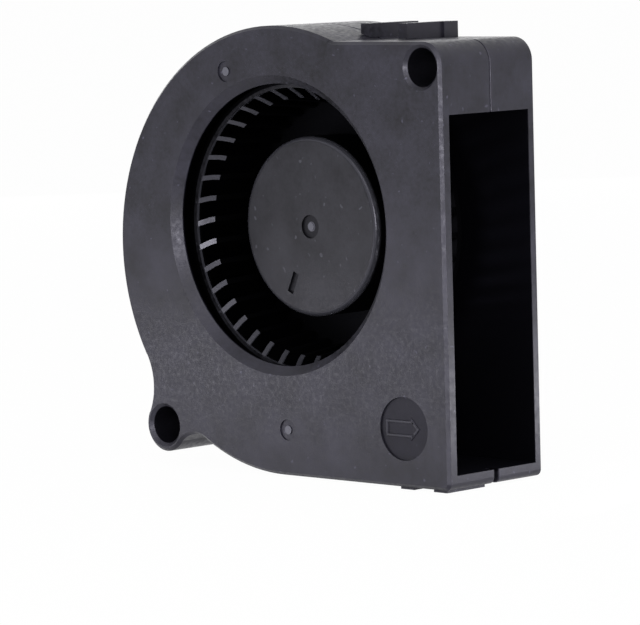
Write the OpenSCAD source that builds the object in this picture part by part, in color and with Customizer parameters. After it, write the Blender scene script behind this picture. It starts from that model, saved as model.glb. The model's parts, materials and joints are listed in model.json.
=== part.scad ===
// Centrifugal DC blower of the 51 mm class, standing upright with its outlet on the right.
// Millimetres. The rotor turns about the Y axis, y = 0 is the rear face and the inlet faces -Y.
// Every piece is drawn lying on its rear face and then stood up, so that a drawn point (x, y, h)
// ends at (x, -h, y). "Height" and names with _h below mean the distance h from the rear face.

/* [Housing] */
// Diameter of the round scroll body, which is also the width and height of the blower
body_d = 51; // [50:0.5:54]
// Depth from the rear face to the front face
depth = 15.7; // [15:0.1:17]
// Thickness of the side wall round the scroll and of the duct's bottom wall
wall_t = 1.6; // [1.3:0.1:1.8]
// Thickness of the front wall
face_t = 1.3; // [1.2:0.1:1.6]
// Thickness of the rear wall
floor_t = 1.2; // [1:0.1:1.4]
// Height of the rotor axis above the centre of the round body
axis_rise = 2.4; // [2:0.1:2.7]
// How far the flat top beside the scroll lies below the scroll's crest
flat_drop = 1.8; // [1.4:0.1:2.2]
// Radius of the corner between the flat top and the outlet face
corner_r = 2.6; // [2:0.1:3.2]
// Radius of the corner between the outlet face and the bottom
heel_r = 0.8; // [0.7:0.1:1.2]
// Radius of the hollow blend between the scroll and the flat top
blend_r = 3; // [2:0.5:5]
// Depth of the base half, from the rear face to the seam
seam_h = 7.5; // [7.2:0.1:7.9]
// Width of the chamfer round the front and rear edges
edge_c = 0.35; // [0.2:0.05:0.5]
// Width of the chamfer on each side of the seam
seam_c = 0.14; // [0.08:0.02:0.2]
// Height of the lip that locates the cover on the base
lip_h = 0.8; // [0.5:0.1:1.2]
// Thickness of that lip
lip_t = 0.7; // [0.5:0.05:0.75]

/* [Inlet and outlet] */
// Diameter of the inlet throat
inlet_d = 32.1; // [31.8:0.1:32.4]
// Width of the sloping lip round the inlet
inlet_lip_w = 1; // [0.7:0.1:1.1]
// Height of the inlet's centre above the rotor axis
inlet_rise = 0.5; // [0:0.1:0.7]
// Height of the outlet opening
outlet_w = 39.6; // [38:0.2:40.4]
// Gap between the impeller and the tip of the cut-off tongue
tongue_gap = 2.1; // [1.6:0.1:2.6]
// Radius of the tongue's tip
tongue_tip_r = 0.6; // [0.4:0.1:0.8]
// Direction in which the tongue's wall meets the round scroll wall, in degrees
tongue_angle = 100; // [95:1:105]
// Width of the relief in the seam at the outlet's bottom wall
notch_w = 0.8; // [0.5:0.1:1]

/* [Mounting] */
// Diameter of the two mounting holes
hole_d = 4.3; // [4.1:0.1:4.4]
// Width of the chamfer at each mouth of the mounting holes
hole_c = 0.4; // [0.2:0.05:0.45]
// Distance of the upper hole from the outlet face
hole_inset_x = 2.9; // [2.8:0.1:3.4]
// Distance of the upper hole from the flat top
hole_inset_y = 2.8; // [2.8:0.1:3.2]
// Distance between the two holes along the width
hole_span_x = 41.6; // [41:0.1:42.2]
// Distance between the two holes along the height
hole_span_y = 41.9; // [41.2:0.1:42.4]
// Wall round the hole in the ear
ear_wall = 0.95; // [0.8:0.05:1.4]
// Radius of the hollow neck below the ear
neck_low_r = 3.5; // [2.5:0.5:5]
// Radius of the hollow neck above the ear
neck_high_r = 7; // [4:0.5:9]

/* [Wire hooks and channel] */
// Thickness of the two hooks on the flat top
hook_t = 1.3; // [1:0.1:1.6]
// Length of the hooks along the depth
hook_len = 8.2; // [7.8:0.1:8.6]
// Clear gap between the hooks
hook_gap = 4.4; // [3.8:0.1:5]
// Distance of the outer hook from the outlet face
hook_inset = 10.8; // [10:0.1:11.4]
// Distance of the hooks from the rear face
hook_h0 = 0.8; // [0.4:0.1:1]
// Length of the thicker rear end of each hook
hook_toe_len = 2.3; // [1.5:0.1:3]
// Extra thickness of that end
hook_toe_t = 0.3; // [0.1:0.05:0.5]
// Width of the wire channel in the rear face
channel_w = 3.2; // [2.8:0.1:3.4]
// Depth of the wire channel
channel_d = 1.4; // [1.2:0.05:1.5]
// Thickness of the wall over the wire channel
channel_roof_t = 0.6; // [0.5:0.05:0.7]

/* [Impeller] */
// Outer diameter of the impeller
impeller_d = 33.6; // [33:0.1:34]
// Number of blades
blade_count = 37; // [31:1:39]
// Thickness of a blade
blade_t = 0.6; // [0.5:0.05:0.8]
// Inner diameter of the blade ring at its root
blade_root_d = 27.4; // [26.6:0.1:28]
// Inner diameter of the blade ring near its front end
blade_eye_d = 29.5; // [29:0.1:29.8]
// Angle by which a blade's outer edge leads its inner edge
blade_lean = 4.4; // [3:0.2:6]
// Angle of the first blade from the width direction
blade_phase = 2.4; // [0:0.1:9.7]
// Distance of the blade tips behind the front face
tip_recess = 3.4; // [3:0.1:3.8]
// Radial width of the sloping front corner of a blade
tip_slope_w = 1.3; // [0.8:0.1:1.5]
// Height of the sloping front corner of a blade
tip_slope_h = 1.6; // [1:0.1:2]
// Radial width of the shroud ring round the blade tips
ring_w = 0.8; // [0.6:0.1:1]
// Height of the shroud ring
ring_h = 0.8; // [0.6:0.1:1.2]
// Thickness of the back plate
plate_t = 0.7; // [0.6:0.05:0.9]
// Diameter of the hub cup
hub_d = 20.6; // [20.5:0.1:21.4]
// Distance of the hub's face behind the front face
hub_recess = 5.6; // [5.4:0.1:5.8]
// Thickness of the hub's face
hub_face_t = 1; // [0.9:0.05:1.1]
// Thickness of the hub's side wall
hub_wall = 0.75; // [0.7:0.05:0.8]
// Radius of the hub's front edge
hub_edge_r = 0.6; // [0.3:0.1:0.7]

/* [Motor] */
// Diameter of the shaft
shaft_d = 2; // [1.8:0.1:2.2]
// Outer diameter of the sleeve bearing
bearing_d = 5; // [4.8:0.1:5.2]
// Wall of the bearing tube
tube_wall = 0.5; // [0.4:0.05:0.6]
// Thickness of the steel rotor yoke
yoke_t = 0.6; // [0.5:0.05:0.65]
// Radial thickness of the magnet ring
magnet_t = 1.3; // [1.1:0.1:1.5]
// Gap between the magnet ring and the closed end of the yoke
magnet_end_gap = 0.6; // [0.5:0.05:0.8]
// Radial air gap between the magnet and the stator
air_gap = 0.38; // [0.3:0.02:0.45]
// How far the magnet ring reaches past each end of the lamination stack
magnet_over = 0.7; // [0.65:0.05:0.9]
// Thickness of the circuit board
board_t = 0.8; // [0.6:0.1:0.85]
// Width of a stator arm
arm_w = 2.2; // [1.8:0.1:2.3]
// Thickness of the winding round an arm
coil_t = 0.5; // [0.4:0.05:0.55]

/* [Hidden] */

$fn = 96;
// Overshoot of a cutting tool past the face that it opens, and of a chamfering tool
over = 0.2;
chamfer_over = 0.1;
// How far one stretch of a chamfer runs over the next
chamfer_lap = 0.1;
// How far a hollow blend bites into the rounds it joins, so that their surfaces cross
bite = 0.04;

// Housing outline, in the plane of the drawing
body_r = body_d / 2;
body_c = [0, -axis_rise];
bottom_y = body_c.y - body_r;
top_y = body_c.y + body_r - flat_drop;
scroll_r = body_r - wall_t;
duct_y0 = body_c.y - scroll_r;
duct_y1 = duct_y0 + outlet_w;
cavity_h1 = depth - face_t;

// Mounting holes
hole_r = hole_d / 2;
upper_hole = [body_r - hole_inset_x, top_y - hole_inset_y];
ear_hole = [upper_hole.x - hole_span_x, upper_hole.y - hole_span_y];
ear_r = hole_r + ear_wall;

// Centre of a circle of radius r that blends two circles from outside, on one side of a to b
function blending(a, ra, b, rb, r, side) =
  let (
    gap = norm(b - a),
    along = (b - a) / gap,
    across = side * [-along.y, along.x],
    reach_a = ra + r - bite,
    reach_b = rb + r - bite,
    foot = (reach_a * reach_a - reach_b * reach_b + gap * gap) / (2 * gap)
  )
  a + along * foot + across * sqrt(reach_a * reach_a - foot * foot);
function heading(from, to) = atan2(to.y - from.y, to.x - from.x);
function full_turn(angle) = (angle + 360) % 360;

neck_low = blending(body_c, body_r, ear_hole, ear_r, neck_low_r, 1);
neck_high = blending(body_c, body_r, ear_hole, ear_r, neck_high_r, -1);
blend_y = top_y + blend_r - bite;
blend_c = [
  sqrt(pow(body_r + blend_r - bite, 2) - pow(blend_y - body_c.y, 2)), blend_y
];
// The flat starts just short of where the hollow blend crosses it
flat_start = 0.8;
flat_x0 = blend_c.x - flat_start * sqrt(2 * blend_r * bite);
corner_c = [body_r - corner_r, top_y - corner_r];
heel_c = [body_r - heel_r, bottom_y + heel_r];

// Cut-off tongue: its wall is a circle that touches the scroll wall from inside
impeller_r = impeller_d / 2;
tongue_r = impeller_r + tongue_gap;
tongue_point = [sqrt(tongue_r * tongue_r - duct_y1 * duct_y1), duct_y1];
tongue_dir = [cos(tongue_angle), sin(tongue_angle)];
tongue_ray = tongue_point - body_c;
tongue_shift = (tongue_ray * tongue_ray - scroll_r * scroll_r)
  / (2 * (tongue_ray * tongue_dir - scroll_r));
tongue_c = body_c + tongue_dir * tongue_shift;
tongue_wall_r = scroll_r - tongue_shift;
tongue_start = body_c + tongue_dir * scroll_r;
tip_c = [
  tongue_c.x + sqrt(pow(tongue_wall_r + tongue_tip_r, 2)
    - pow(duct_y1 + tongue_tip_r - tongue_c.y, 2)),
  duct_y1 + tongue_tip_r
];

// Hooks and wire channel
outer_hook_x = body_r - hook_inset - hook_t;
inner_hook_x = outer_hook_x - hook_gap - hook_t;
hook_top_y = body_c.y + body_r;
hook_foot_depth = 0.6;
hook_foot_y = top_y - hook_foot_depth;
hook_clear = 0.05;
channel_top_h = channel_d + channel_roof_t;
channel_mouth = [outer_hook_x - hook_gap / 2, top_y + over];
channel_run_out = 3;
window_len = 1.6;
window_back = 0.3;

// Rotor, from the rear wall up
plate_gap = 1.8;
plate_h0 = floor_t + plate_gap;
plate_h1 = plate_h0 + plate_t;
hub_r = hub_d / 2;
hub_h1 = depth - hub_recess;
hub_in_h = hub_h1 - hub_face_t;
hub_in_r = hub_r - hub_wall;
tip_h = depth - tip_recess;
ring_in_r = impeller_r - ring_w;
ring_proud = 0.2;
ring_top_h = tip_h + ring_proud;
blade_sink = 0.1;
blade_out_r = impeller_r - blade_sink;
blade_h0 = plate_h1 - blade_sink;
blade_in_r = blade_root_d / 2;
eye_r = blade_eye_d / 2;
seat_gap = 0.04;
yoke_r = hub_in_r - seat_gap;
yoke_in_r = yoke_r - yoke_t;
yoke_lift = 0.2;
yoke_h0 = plate_h0 + yoke_lift;
yoke_in_h = hub_in_h - yoke_t;
magnet_r = yoke_in_r - seat_gap;
magnet_in_r = magnet_r - magnet_t;
magnet_lift = 0.4;
magnet_h0 = yoke_h0 + magnet_lift;
magnet_len = yoke_in_h - magnet_end_gap - magnet_h0;
// Gate recess and radial balancing recess in the face of the hub
hub_gate_r = 1.35;
hub_gate_d = 0.25;
hub_stub_r = 0.45;
hub_stub_d = 0.1;
hub_slot_angle = 246;
hub_slot_r = 5.9;
hub_slot_len = 2.5;
hub_slot_w = 0.9;
hub_slot_d = 0.3;

// Bearing
shaft_r = shaft_d / 2;
running_gap = 0.03;
bearing_fit = 0.02;
tube_in_r = bearing_d / 2 + bearing_fit;
tube_r = tube_in_r + tube_wall;
cap_t = 0.5;
disc_t = 0.3;
ledge_h = cap_t + 0.1;
ledge_w = 0.4;
cap_r = tube_r - ledge_w;
disc_gap = 0.1;
shaft_lift = 0.05;
shaft_grip = 0.4;
shaft_h0 = cap_t + disc_t + shaft_lift;
shaft_h1 = hub_in_h + shaft_grip;
tube_drop = 0.7;
tube_h1 = yoke_in_h - tube_drop;
groove_land = 0.3;
groove_h0 = shaft_h0 + groove_land;
groove_w = 0.34;
groove_depth = 0.25;
groove_fit = 0.02;
ring_grip_w = 0.8;
bearing_lift = 0.15;
bearing_drop = 0.2;
bearing_h0 = groove_h0 + groove_w + bearing_lift;
bearing_h1 = tube_h1 - bearing_drop;
washer_gap = 0.2;
washer_drop = 0.1;
boss_flange_t = 0.4;
boss_wall = 1.2;
boss_flange_w = 0.9;
boss_r = shaft_r + boss_wall;
boss_flange_r = boss_r + boss_flange_w;
boss_h0 = yoke_in_h - boss_flange_t;

// Stator and circuit board
stator_r = magnet_in_r - air_gap;
shoe_t = 1.1;
stack_t = magnet_len - 2 * magnet_over;
stack_h0 = magnet_h0 + magnet_over;
stack_h1 = stack_h0 + stack_t;
insulator_t = 0.5;
insulator_side_t = 0.3;
insulator_lip = 0.6;
pole_slot_w = 2;
insulator_slot_w = 4;
core_wall = 0.9;
core_hub_r = tube_r + core_wall;
coil_clear = 0.1;
coil_r0 = core_hub_r + coil_clear;
coil_r1 = stator_r - shoe_t;
coil_gap = 0.05;
board_lift = 0.6;
board_h0 = floor_t + board_lift;
board_h1 = board_h0 + board_t;
board_gap = 0.2;
board_r = hub_in_r - board_gap;
collar_w = 1.2;
collar_r = tube_r + collar_w;
cap_fit = 0.02;
pin_r = 0.3;
pin_inset = 1;
pin_ring_r = core_hub_r + pin_inset;
pin_tail = 0.3;
pin_short = 0.1;
pin_angles = [45, 135, 225];
leg_angles = [45, 135, 225, 315];
leg_r = 0.7;
leg_arm_w = 1.2;
lead_angle = 52;
channel_foot = board_r * [cos(lead_angle), sin(lead_angle)];

// Parts on the circuit board: sizes along and across their radius, and their places
hall_w = 1.3;
hall_len = 2.6;
hall_t = 0.7;
hall_inset = 0.3;
hall_r = magnet_in_r + magnet_t / 2 - hall_inset;
chip_w = 3;
chip_len = 4;
chip_t = 0.5;
chip_r = 6.6;
chip_angle = 160;
capacitor_w = 1.2;
capacitor_len = 2;
capacitor_r = 7;
capacitor_angle = 250;
diode_w = 1.4;
diode_len = 2.4;
diode_r = 7;
diode_angle = 290;
resistor_w = 0.8;
resistor_len = 1.6;
resistor_t = 0.4;
resistor_r = 7.4;
resistor_angles = [205, 222];
pad_w = 1.8;
pad_len = 1.1;
pad_t = 0.12;
pad_inset = 1.4;
pad_spread = 7;

// Lip and pin that locate the cover on the base
lip_from = 110;
lip_to = 262;
lip_in_r = scroll_r + 0.05;
lip_out_r = lip_in_r + lip_t;
lip_gap = 0.1;
lip_end_gap = 1;
pin_from_tip = 4;
pin_from_top = 3.4;
pin_at = [tip_c.x + pin_from_tip, top_y - pin_from_top];
locating_pin_r = 0.85;
locating_pin_h = 2;

// Surface marks
gate_r = 1.2;
gate_d = 0.18;
gate_stub_r = 0.5;
gate_stub_d = 0.06;
gates = [[-7.4, 17.9], [1, -22.7]];
arrow_inset = 6.6;
arrow_rise = 6.5;
arrow_disc = [body_r - arrow_inset, bottom_y + arrow_rise];
arrow_disc_r = 3.55;
arrow_disc_d = 0.22;
// Low pads under the outlet end, and the relief in the seam at the mouth of the duct
foot_inset = 2.7;
foot_pitch = 4.9;
foot_x = [body_r - foot_inset - foot_pitch, body_r - foot_inset];
foot_w = 2;
foot_proud = 0.28;
foot_lift = 1.6;
foot_h0 = seam_h + foot_lift;
foot_drop = 0.4;
foot_h1 = depth - foot_drop;
notch_len = 1.4;

shell_colour = [0.28, 0.28, 0.31];
impeller_colour = [0.24, 0.24, 0.26];

// Stands a piece up from the way it is drawn
module stand() {
  rotate([90, 0, 0]) children();
}

module ring(r_out, r_in, h0, h1) {
  translate([0, 0, h0])
    difference() {
      cylinder(r = r_out, h = h1 - h0);
      translate([0, 0, -over]) cylinder(r = r_in, h = h1 - h0 + 2 * over);
    }
}

module disc_at(p, r, h0, h1) {
  translate([p.x, p.y, h0]) cylinder(r = r, h = h1 - h0);
}

// Fills the corner between two circles up to the hollow arc that touches both
module neck(a, b, hollow_c, hollow_r) {
  difference() {
    polygon([a, b, hollow_c]);
    translate(hollow_c) circle(r = hollow_r);
  }
}

// The outline that both halves of the housing share
module body_outline() {
  translate(body_c) circle(r = body_r, $fn = 240);
  translate([0, bottom_y]) square([heel_c.x, corner_c.y - bottom_y]);
  translate([0, heel_c.y]) square([body_r, corner_c.y - heel_c.y]);
  translate([flat_x0, heel_c.y]) square([corner_c.x - flat_x0, top_y - heel_c.y]);
  translate(corner_c) circle(r = corner_r);
  translate(heel_c) circle(r = heel_r);
  difference() {
    polygon([body_c, [blend_c.x, body_c.y], blend_c]);
    translate(blend_c) circle(r = blend_r);
  }
  translate(ear_hole) circle(r = ear_r);
  neck(body_c, ear_hole, neck_low, neck_low_r);
  neck(body_c, ear_hole, neck_high, neck_high_r);
}

// The air space: round scroll, straight duct and the wall that leads to the tongue
module air_outline() {
  difference() {
    translate(body_c) circle(r = scroll_r, $fn = 240);
    translate([tongue_start.x, duct_y1]) square([body_d, body_d]);
  }
  translate(tongue_c) circle(r = tongue_wall_r, $fn = 200);
  translate([0, duct_y0]) square([body_r + over, outlet_w]);
  difference() {
    polygon([tongue_c, [tip_c.x, tongue_c.y], [tip_c.x, duct_y1], tip_c]);
    translate(tip_c) circle(r = tongue_tip_r, $fn = 48);
  }
}

// Triangle that takes a chamfer of width c off an edge at radius r, top face at height 0
module chamfer_profile(r, c, outward) {
  polygon([
    [r - outward * (c + chamfer_over), chamfer_over],
    [r + outward * chamfer_over, -c - chamfer_over],
    [r + outward * chamfer_over, chamfer_over]
  ]);
}

module arc_chamfer(centre, r, from, to, c, outward) {
  lap = chamfer_lap / r * 180 / PI;
  translate(centre)
    rotate([0, 0, from - lap])
      rotate_extrude(angle = full_turn(to - from) + 2 * lap, $fn = 240)
        chamfer_profile(r, c, outward);
}

module line_chamfer(from, to, c) {
  translate(to)
    rotate([90, 0, heading(from, to) - 90])
      linear_extrude(norm(to - from)) chamfer_profile(0, c, 1);
}

// Takes a chamfer off the whole outline, anticlockwise, for a top face at height 0
module outline_chamfer(c) {
  blend_foot = [blend_c.x, top_y];
  crest_from = heading(body_c, blend_c);
  arc_chamfer(body_c, body_r, crest_from, heading(body_c, neck_high), c, 1);
  arc_chamfer(neck_high, neck_high_r, heading(neck_high, ear_hole), heading(neck_high, body_c), c, -1);
  arc_chamfer(ear_hole, ear_r, heading(ear_hole, neck_high), heading(ear_hole, neck_low), c, 1);
  arc_chamfer(neck_low, neck_low_r, heading(neck_low, body_c), heading(neck_low, ear_hole), c, -1);
  arc_chamfer(body_c, body_r, heading(body_c, neck_low), -90, c, 1);
  line_chamfer([0, bottom_y], [heel_c.x, bottom_y], c);
  arc_chamfer(heel_c, heel_r, -90, 0, c, 1);
  line_chamfer([body_r, heel_c.y], [body_r, corner_c.y], c);
  arc_chamfer(corner_c, corner_r, 0, 90, c, 1);
  line_chamfer([corner_c.x, top_y], blend_foot, c);
  arc_chamfer(blend_c, blend_r, heading(blend_c, body_c), -90, c, -1);
}

// Mounting holes with a chamfer at the mouth on the face at height h, which looks up or down
module mounting_holes(h, up) {
  for (p = [upper_hole, ear_hole])
    translate([p.x, p.y, 0]) {
      translate([0, 0, -over]) cylinder(r = hole_r, h = depth + 2 * over);
      translate([0, 0, h])
        mirror([0, 0, up ? 0 : 1])
          translate([0, 0, -hole_c])
            cylinder(r1 = hole_r, r2 = hole_r + hole_c + over, h = hole_c + over);
    }
}

// Round recess left by a moulding gate, with its small stub
module gate_mark(p, h) {
  difference() {
    disc_at(p, gate_r, h - gate_d, h + over);
    disc_at(p, gate_stub_r, h - gate_d - over, h - gate_stub_d);
  }
}

// Sector of a ring on the seam that follows the round scroll wall
module lip_ring(r_in, r_out, h, from, to) {
  translate([body_c.x, body_c.y, seam_h])
    rotate([0, 0, from])
      rotate_extrude(angle = to - from, $fn = 240)
        translate([r_in, -over]) square([r_out - r_in, h + over]);
}

module housing_cover() color(shell_colour) stand() {
  inlet_r = inlet_d / 2;
  difference() {
    union() {
      translate([0, 0, seam_h]) linear_extrude(depth - seam_h) body_outline();
      for (x = foot_x)
        translate([x, bottom_y - foot_proud, foot_h0])
          cube([foot_w, foot_proud + over, foot_h1 - foot_h0]);
    }
    translate([0, 0, seam_h - over]) linear_extrude(cavity_h1 - seam_h + over) air_outline();
    // Inlet throat with its sloping lip
    translate([0, inlet_rise, cavity_h1 - over])
      cylinder(r = inlet_r, h = face_t + 2 * over, $fn = 180);
    translate([0, inlet_rise, depth - inlet_lip_w])
      cylinder(r1 = inlet_r, r2 = inlet_r + inlet_lip_w + over, h = inlet_lip_w + over, $fn = 180);
    mounting_holes(depth, true);
    translate([0, 0, depth]) outline_chamfer(edge_c);
    translate([0, 0, seam_h]) mirror([0, 0, 1]) outline_chamfer(seam_c);
    lip_ring(scroll_r - over, lip_out_r + lip_gap, lip_h + lip_gap,
      lip_from - lip_end_gap, lip_to + lip_end_gap);
    disc_at(pin_at, locating_pin_r + lip_gap, seam_h - over, seam_h + locating_pin_h + lip_gap);
    for (p = gates) gate_mark(p, depth);
    disc_at(arrow_disc, arrow_disc_r, depth - arrow_disc_d, depth + over);
    translate([body_r - notch_len, bottom_y - over, seam_h - over])
      cube([notch_len + over, wall_t + 2 * over, notch_w + over]);
  }
}

// The pair of wire hooks on the flat top
module wire_hooks() {
  rise = hook_top_y - hook_foot_y;
  for (x = [inner_hook_x, outer_hook_x]) {
    toe_x = x == inner_hook_x ? x - hook_toe_t : x;
    translate([x, hook_foot_y, hook_h0]) cube([hook_t, rise, seam_h - hook_h0]);
    translate([toe_x, hook_foot_y, hook_h0]) cube([hook_t + hook_toe_t, rise, hook_toe_len]);
    // The front end reaches over the cover, just clear of its flat top and its crest
    difference() {
      translate([x, top_y + hook_clear, hook_h0])
        cube([hook_t, hook_top_y - top_y - hook_clear, hook_len]);
      disc_at(body_c, body_r + hook_clear, seam_h, depth);
    }
  }
}

// A straight bar in the plane of the drawing from one point to another
module bar(from, to, w, h0, h1) {
  translate([from.x, from.y, h0])
    rotate([0, 0, heading(from, to)])
      translate([0, -w / 2, 0]) cube([norm(to - from), w, h1 - h0]);
}

module housing_base() color(shell_colour) stand() {
  wire_way = channel_mouth - channel_foot;
  wire_dir = wire_way / norm(wire_way);
  difference() {
    union() {
      difference() {
        linear_extrude(seam_h) body_outline();
        translate([0, 0, floor_t]) linear_extrude(seam_h - floor_t + over) air_outline();
        translate([0, 0, seam_h]) outline_chamfer(seam_c);
        mirror([0, 0, 1]) outline_chamfer(edge_c);
      }
      lip_ring(lip_in_r, lip_out_r, lip_h, lip_from, lip_to);
      disc_at(pin_at, locating_pin_r, seam_h - over, seam_h + locating_pin_h);
      wire_hooks();
      // Collar that carries the bearing tube and the circuit board
      disc_at([0, 0], collar_r, 0, board_h0);
      // Wall over the wire channel, clear of the board's edge
      difference() {
        intersection() {
          bar(channel_foot - wire_dir, channel_mouth, channel_w + 2 * channel_roof_t,
            0, channel_top_h);
          linear_extrude(seam_h) body_outline();
        }
        disc_at([0, 0], board_r + board_gap, floor_t - over, depth);
      }
    }
    translate([0, 0, ledge_h]) cylinder(r = tube_r, h = depth);
    translate([0, 0, -over]) cylinder(r = cap_r + cap_fit, h = depth);
    mounting_holes(0, false);
    bar(channel_foot - wire_dir * window_back, channel_mouth + wire_dir * channel_run_out,
      channel_w, -over, channel_d);
    // Window through which the leads reach the circuit board
    bar(channel_foot - wire_dir * window_back, channel_foot + wire_dir * window_len,
      channel_w, -over, depth);
  }
}

// Plan of one blade: the inner edge points inwards and the outer edge leads by blade_lean
function blade_angle(r) = blade_lean * pow((r - blade_in_r) / (blade_out_r - blade_in_r), 2);
function blade_side(r, side) =
  let (angle = blade_angle(r) + side * blade_t / 2 / r * 180 / PI)
  [r * cos(angle), r * sin(angle)];

module blade_plan() {
  steps = 4;
  radii = [for (i = [0 : steps]) blade_in_r + (blade_out_r - blade_in_r) * i / steps];
  polygon([
    for (r = radii) blade_side(r, -1),
    for (i = [steps : -1 : 0]) blade_side(radii[i], 1)
  ]);
}

module impeller() color(impeller_colour) stand() {
  difference() {
    union() {
      intersection() {
        translate([0, 0, blade_h0])
          linear_extrude(tip_h - blade_h0)
            for (i = [0 : blade_count - 1])
              rotate([0, 0, blade_phase + 360 * i / blade_count]) blade_plan();
        rotate_extrude($fn = 180)
          polygon([
            [blade_in_r, 0],
            [impeller_r, 0],
            [impeller_r, depth],
            [eye_r + tip_slope_w, depth],
            [eye_r + tip_slope_w, tip_h],
            [eye_r, tip_h - tip_slope_h]
          ]);
      }
      ring(impeller_r, ring_in_r, ring_top_h - ring_h, ring_top_h, $fn = 180);
      translate([0, 0, plate_h0]) cylinder(r = impeller_r, h = plate_t, $fn = 180);
      rotate_extrude($fn = 180) {
        translate([0, plate_h0]) square([hub_r, hub_h1 - hub_edge_r - plate_h0]);
        translate([0, plate_h0]) square([hub_r - hub_edge_r, hub_h1 - plate_h0]);
        translate([hub_r - hub_edge_r, hub_h1 - hub_edge_r]) circle(r = hub_edge_r, $fn = 48);
      }
    }
    translate([0, 0, plate_h0 - over]) cylinder(r = hub_in_r, h = hub_in_h - plate_h0 + over, $fn = 180);
    // Pocket for the shaft boss
    cylinder(r = boss_r + seat_gap, h = shaft_h1);
    difference() {
      disc_at([0, 0], hub_gate_r, hub_h1 - hub_gate_d, hub_h1 + over);
      disc_at([0, 0], hub_stub_r, 0, hub_h1 - hub_stub_d);
    }
    rotate([0, 0, hub_slot_angle])
      translate([hub_slot_r, -hub_slot_w / 2, hub_h1 - hub_slot_d])
        cube([hub_slot_len, hub_slot_w, hub_slot_d + over]);
  }
}

module rotor_yoke() color([0.62, 0.63, 0.65]) stand() {
  difference() {
    translate([0, 0, yoke_h0]) cylinder(r = yoke_r, h = hub_in_h - yoke_h0);
    translate([0, 0, yoke_h0 - over]) cylinder(r = yoke_in_r, h = yoke_in_h - yoke_h0 + over);
    cylinder(r = boss_r + seat_gap, h = depth);
  }
}

module magnet_ring() color([0.2, 0.19, 0.19]) stand()
  ring(magnet_r, magnet_in_r, magnet_h0, magnet_h0 + magnet_len);

module shaft() color([0.78, 0.79, 0.8]) stand() {
  difference() {
    translate([0, 0, shaft_h0]) cylinder(r = shaft_r, h = shaft_h1 - shaft_h0);
    ring(shaft_r + over, shaft_r - groove_depth, groove_h0, groove_h0 + groove_w);
  }
}

module shaft_boss() color([0.78, 0.66, 0.36]) stand() {
  difference() {
    union() {
      translate([0, 0, boss_h0]) cylinder(r = boss_flange_r, h = boss_flange_t);
      translate([0, 0, boss_h0]) cylinder(r = boss_r, h = shaft_h1 - boss_h0);
    }
    translate([0, 0, boss_h0 - over]) cylinder(r = shaft_r, h = depth);
  }
}

module oil_washer() color([0.85, 0.84, 0.8]) stand()
  ring(tube_in_r - washer_gap, shaft_r, tube_h1 - washer_drop, boss_h0);

module retaining_ring() color([0.86, 0.86, 0.83]) stand()
  ring(shaft_r + ring_grip_w, shaft_r - groove_depth + groove_fit,
    groove_h0 + groove_fit, groove_h0 + groove_w - groove_fit);

module sleeve_bearing() color([0.72, 0.55, 0.34]) stand()
  ring(bearing_d / 2, shaft_r + running_gap, bearing_h0, bearing_h1);

module bearing_tube() color([0.8, 0.7, 0.42]) stand()
  ring(tube_r, tube_in_r, ledge_h, tube_h1);

module thrust_disc() color([0.9, 0.9, 0.88]) stand()
  translate([0, 0, cap_t]) cylinder(r = cap_r - disc_gap, h = disc_t);

module bearing_cap() color([0.2, 0.2, 0.21]) stand()
  cylinder(r = cap_r, h = cap_t);

// Plan of the four-pole lamination: hub, arms and curved shoes
module core_plan(arm, shoe_in, shoe_out, slot) {
  difference() {
    union() {
      circle(r = core_hub_r);
      for (a = [0 : 90 : 270])
        rotate(a) translate([0, -arm / 2]) square([shoe_in + over, arm]);
      difference() {
        circle(r = shoe_out);
        circle(r = shoe_in);
        for (a = leg_angles)
          rotate(a) translate([0, -slot / 2]) square([stator_r + over, slot]);
      }
    }
    circle(r = tube_r + seat_gap);
  }
}

module stator_core() color([0.55, 0.56, 0.58]) stand()
  translate([0, 0, stack_h0])
    linear_extrude(stack_t) core_plan(arm_w, coil_r1, stator_r, pole_slot_w);

// Moulded cheek that keeps the winding off the laminations
module insulator_cheek(h0, wall_h0) {
  cheek_r = coil_r1 + insulator_lip;
  translate([0, 0, h0])
    linear_extrude(insulator_t)
      core_plan(arm_w + 2 * insulator_side_t, coil_r1, cheek_r, insulator_slot_w);
  translate([0, 0, wall_h0])
    linear_extrude(insulator_t)
      difference() {
        circle(r = cheek_r);
        circle(r = coil_r1);
        for (a = leg_angles)
          rotate(a)
            translate([0, -insulator_slot_w / 2]) square([stator_r + over, insulator_slot_w]);
      }
}

module upper_insulator() color([0.86, 0.84, 0.78]) stand()
  insulator_cheek(stack_h1, stack_h1 + insulator_t);

module lower_insulator() color([0.86, 0.84, 0.78]) stand() {
  arm_r0 = tube_r + seat_gap + coil_clear;
  difference() {
    union() {
      insulator_cheek(stack_h0 - insulator_t, stack_h0 - 2 * insulator_t);
      // Legs that stand the stator on the circuit board and hold the terminal pins
      for (a = leg_angles)
        rotate([0, 0, a]) {
          translate([arm_r0, -leg_arm_w / 2, stack_h0 - insulator_t])
            cube([pin_ring_r - arm_r0, leg_arm_w, insulator_t]);
          translate([pin_ring_r, 0, board_h1])
            cylinder(r = leg_r, h = stack_h0 - board_h1);
        }
    }
    for (a = pin_angles)
      rotate([0, 0, a])
        translate([pin_ring_r, 0, 0]) cylinder(r = pin_r, h = stack_h0);
  }
}

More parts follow.
